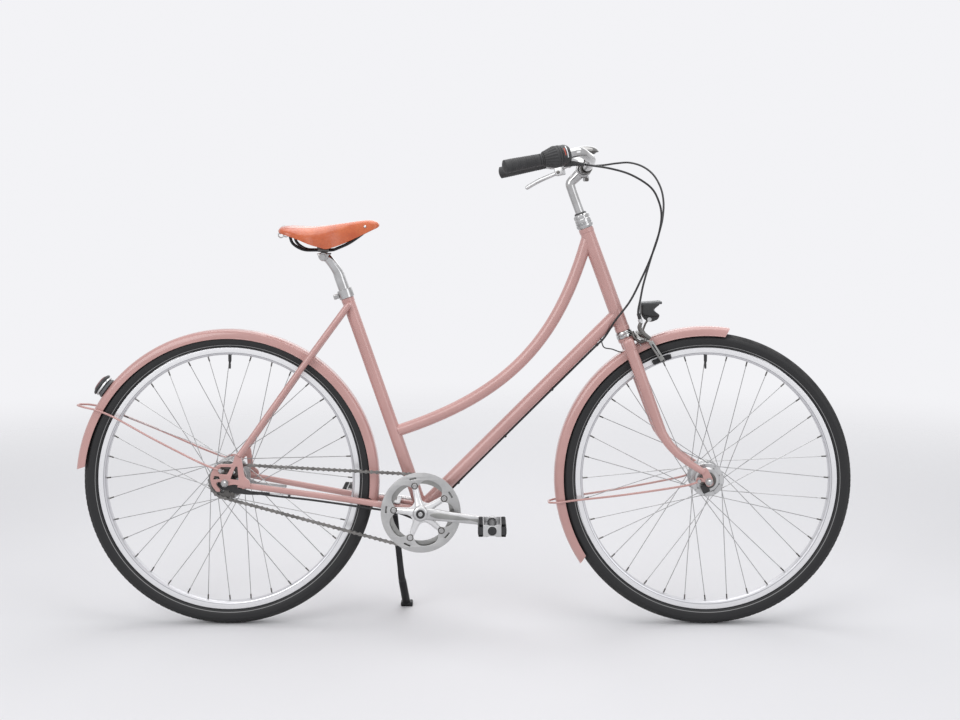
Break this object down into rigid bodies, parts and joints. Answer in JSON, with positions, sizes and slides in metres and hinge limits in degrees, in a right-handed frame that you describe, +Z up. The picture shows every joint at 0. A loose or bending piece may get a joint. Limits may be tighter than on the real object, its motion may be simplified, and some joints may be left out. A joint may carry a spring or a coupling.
{
  "type": "city bike",
  "caption": "Step-through city bike with a low curved top tube, swept handlebar, full mudguards, a chain disc, a leather saddle and a side stand.",
  "frame": {"origin": "middle of the underside of the bounding box, on the ground, with the bike leant 3 degrees to its left on its side stand", "axes": "+X forwards along the bike, +Y to the bike's left (the chain is on the -Y side), +Z up"},
  "size_m": [1.8724, 0.6076, 1.156],
  "materials": {
    "pink_paint": "gloss dusty pink enamel",
    "polished_metal": "polished and plated",
    "rim_alloy": "satin polished alloy",
    "dark_steel": "dark oiled or blackened steel",
    "black_plastic": "satin black",
    "tyre_rubber": "matt black",
    "honey_leather": "waxed orange-brown leather",
    "grey_disc": "satin grey",
    "red_lens": "black housing with a red lens"
  },
  "bodies": {
    "frame": {"head_tube": "pink_paint", "top_tube": "pink_paint", "down_tube": "pink_paint", "seat_tube": "pink_paint", "bottom_bracket_shell": "pink_paint", "right_chain_stay": "pink_paint", "left_chain_stay": "pink_paint", "right_seat_stay": "pink_paint", "left_seat_stay": "pink_paint", "headset_upper_cup": "polished_metal", "headset_lower_cup": "polished_metal", "rear_axle": "polished_metal", "rear_mudguard": "pink_paint", "rear_mudguard_stay": "pink_paint", "rear_lamp": "red_lens", "chain": "dark_steel", "stand_bracket": "black_plastic", "shift_cable": "black_plastic", "cassette_joint": "black_plastic", "seat_collar": "polished_metal", "coaster_brake_arm": "polished_metal"},
    "steering": {"fork": "pink_paint", "headset_locknut": "polished_metal", "front_mudguard": "pink_paint", "front_mudguard_stay": "pink_paint", "brake_bolt_and_lamp_bracket": "polished_metal", "front_axle": "polished_metal", "handlebar_stem": "polished_metal", "handlebar": "polished_metal", "right_grip": "black_plastic", "left_grip": "black_plastic", "shifter_housing": "black_plastic", "lever_bracket": "polished_metal", "bell_base": "polished_metal", "bell_dome": "polished_metal", "brake_cable": "black_plastic"},
    "headlamp": {"headlamp": "black_plastic"},
    "right_brake_arm": {"right_brake_arm": "polished_metal"},
    "left_brake_arm": {"left_brake_arm": "polished_metal"},
    "twist_shifter": {"twist_shifter": "black_plastic"},
    "brake_lever": {"brake_lever": "polished_metal"},
    "bell_lever": {"bell_lever": "polished_metal"},
    "front_wheel": {"front_tyre": "tyre_rubber", "front_rim": "rim_alloy", "front_hub": "polished_metal"},
    "rear_wheel": {"rear_tyre": "tyre_rubber", "rear_rim": "rim_alloy", "rear_hub": "polished_metal"},
    "rear_cog": {"rear_cog": "dark_steel"},
    "crankset": {"crank_axle": "dark_steel", "right_crank": "polished_metal", "left_crank": "polished_metal", "chainring": "polished_metal", "chain_disc": "grey_disc"},
    "right_pedal": {"right_pedal": "black_plastic"},
    "left_pedal": {"left_pedal": "black_plastic"},
    "side_stand": {"side_stand_leg": "black_plastic"},
    "seat": {"seatpost": "polished_metal", "saddle_rails": "dark_steel", "saddle_leather": "honey_leather"}
  },
  "joints": [
    {"name": "steering", "type": "hinge", "parent": "frame", "child": "steering", "pos_m": [0.38572, -0.0204, 0.70522], "axis": [-0.342, 0.0492, 0.9384], "range_deg": [-70, 70], "deforming": ["shift_cable"]},
    {"name": "front_wheel_spin", "type": "hinge", "parent": "steering", "child": "front_wheel", "pos_m": [0.58524, -0.03899, 0.35052], "axis": [0, 0.9986, -0.0523], "continuous": true},
    {"name": "rear_wheel_spin", "type": "hinge", "parent": "frame", "child": "rear_wheel", "pos_m": [-0.56576, -0.03899, 0.35052], "axis": [0, 0.9986, -0.0523], "continuous": true},
    {"name": "crank_spin", "type": "hinge", "parent": "frame", "child": "crankset", "pos_m": [-0.10162, -0.04286, 0.27662], "axis": [0, 0.9986, -0.0523], "continuous": true},
    {"name": "rear_cog_spin", "type": "hinge", "parent": "frame", "child": "rear_cog", "pos_m": [-0.56576, -0.03899, 0.35052], "axis": [0, 0.9986, -0.0523], "continuous": true},
    {"name": "right_pedal_spin", "type": "hinge", "parent": "crankset", "child": "right_pedal", "pos_m": [0.06773, -0.04363, 0.26182], "axis": [0, 0.9986, -0.0523], "continuous": true},
    {"name": "left_pedal_spin", "type": "hinge", "parent": "crankset", "child": "left_pedal", "pos_m": [-0.27098, -0.04208, 0.29142], "axis": [0, 0.9986, -0.0523], "continuous": true},
    {"name": "brake_lever_pull", "type": "hinge", "parent": "steering", "child": "brake_lever", "pos_m": [0.24486, 0.24296, 1.08106], "axis": [0.2957, 0.954, -0.05], "range_deg": [0, 16], "stiffness_Nm_per_rad": 2, "springref_deg": -8.59},
    {"name": "right_brake_arm_close", "type": "hinge", "parent": "steering", "child": "right_brake_arm", "pos_m": [0.41899, -0.02101, 0.69344], "axis": [0.8339, 0.0289, 0.5512], "range_deg": [0, 1.8]},
    {"name": "left_brake_arm_close", "type": "hinge", "parent": "steering", "child": "left_brake_arm", "pos_m": [0.42425, -0.02083, 0.69691], "axis": [0.8339, 0.0289, 0.5512], "range_deg": [-1.8, 0]},
    {"name": "shifter_twist", "type": "hinge", "parent": "steering", "child": "twist_shifter", "pos_m": [0.17685, -0.26316, 1.12437], "axis": [0.9379, 0.2998, 0.1747], "range_deg": [-60, 60]},
    {"name": "bell_lever_push", "type": "hinge", "parent": "steering", "child": "bell_lever", "pos_m": [0.27855, -0.0683, 1.12877], "axis": [0, 0.0523, 0.9986], "range_deg": [0, 25], "stiffness_Nm_per_rad": 0.08, "springref_deg": -11.46},
    {"name": "side_stand_fold", "type": "hinge", "parent": "frame", "child": "side_stand", "pos_m": [-0.17062, 0.0004, 0.26133], "axis": [0, 0.9986, -0.0523], "range_deg": [0, 95]},
    {"name": "seat_height", "type": "slide", "parent": "frame", "child": "seat", "axis": [-0.3338, 0.0493, 0.9413], "range_m": [-0.045, 0.1]},
    {"name": "headlamp_tilt", "type": "hinge", "parent": "steering", "child": "headlamp", "pos_m": [0.44724, -0.01889, 0.73399], "axis": [0, 0.9986, -0.0523], "range_deg": [-10, 14]}
  ],
  "couplings": [
    {"joint": "rear_cog_spin", "follows": "crank_spin", "ratio": 2.2},
    {"joint": "right_brake_arm_close", "follows": "brake_lever_pull", "ratio": 0.11},
    {"joint": "left_brake_arm_close", "follows": "brake_lever_pull", "ratio": -0.11}
  ]
}
